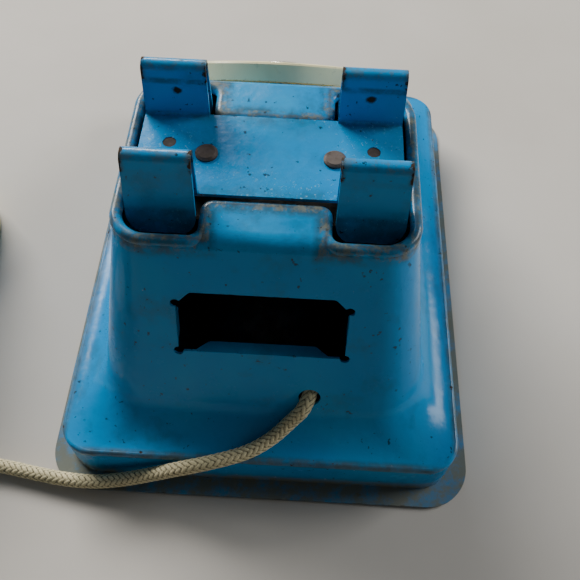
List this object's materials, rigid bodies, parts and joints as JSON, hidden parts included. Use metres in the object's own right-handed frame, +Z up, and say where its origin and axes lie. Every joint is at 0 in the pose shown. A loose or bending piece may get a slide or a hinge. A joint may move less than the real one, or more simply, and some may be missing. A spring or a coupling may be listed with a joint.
{
  "type": "toy telephone",
  "caption": "Pressed-steel toy telephone base with a sprung handset cradle, turning dial, dial-worked bell, cotton cord and handset.",
  "frame": {"origin": "centre of the base's underside, on the surface it stands on", "axes": "+Z up, -Y the way the dial faces, +Y the rear wall with the cord hole, +X the side the handset lies on"},
  "size_m": [0.1973, 0.1897, 0.087],
  "materials": {
    "enamel": "gloss enamel, chipped",
    "plate_steel": "dull dark steel",
    "screw_steel": "dull",
    "spring_steel": "dull",
    "rusty_steel": "rusted",
    "washer_steel": "dull",
    "dial_paper": "printed",
    "brass": "aged",
    "nickel": "worn plate",
    "cream_metal": "gloss",
    "gong_nickel": "plated",
    "cotton": "braided",
    "cream_plastic": "gloss"
  },
  "bodies": {
    "housing": {"body_shell": "enamel", "base_plate": "plate_steel", "base_lugs": "plate_steel", "base_screws": "screw_steel", "cradle_bridge": "plate_steel", "return_springs": "spring_steel", "number_plate": "dial_paper", "dial_bush": "brass", "bush_nut": "brass", "finger_stop": "nickel", "stop_rivet": "nickel", "gong": "gong_nickel", "gong_post": "screw_steel", "gong_washer": "washer_steel", "gong_nut": "screw_steel", "striker_bracket": "plate_steel", "bracket_rivets": "screw_steel", "striker_pin": "screw_steel", "pin_clip": "washer_steel", "striker_spring": "spring_steel", "cord_knot": "cotton", "cord": "cotton", "cord_coil": "cotton", "cord_tail": "cotton", "handset_grip": "enamel", "ear_cap": "cream_plastic", "mouth_cap": "cream_plastic", "handset_knot": "cotton"},
    "cradle": {"cradle_plate": "enamel", "cradle_rivets": "rusty_steel", "stop_washers": "washer_steel", "guide_studs": "rusty_steel"},
    "dial": {"finger_wheel": "cream_metal", "dial_cap": "nickel", "dial_spindle": "screw_steel", "spindle_washer": "washer_steel", "star_wheel": "washer_steel", "spindle_nut": "screw_steel"},
    "striker": {"striker_arm": "washer_steel", "hammer": "brass"}
  },
  "joints": [
    {"name": "cradle_press", "type": "slide", "parent": "housing", "child": "cradle", "axis": [0, 0, 1], "range_m": [-0.003, 0], "stiffness_N_per_m": 300, "springref_m": 0.002, "deforming": ["return_springs"]},
    {"name": "dial_turn", "type": "hinge", "parent": "housing", "child": "dial", "pos_m": [0, -0.03509, 0.04561], "axis": [0, -0.7071, 0.7071], "continuous": true},
    {"name": "striker_swing", "type": "hinge", "parent": "housing", "child": "striker", "pos_m": [0.014, -0.014, 0.0266], "axis": [0, 0, 1], "range_deg": [-4.5, 4.5], "stiffness_Nm_per_rad": 0.004}
  ]
}
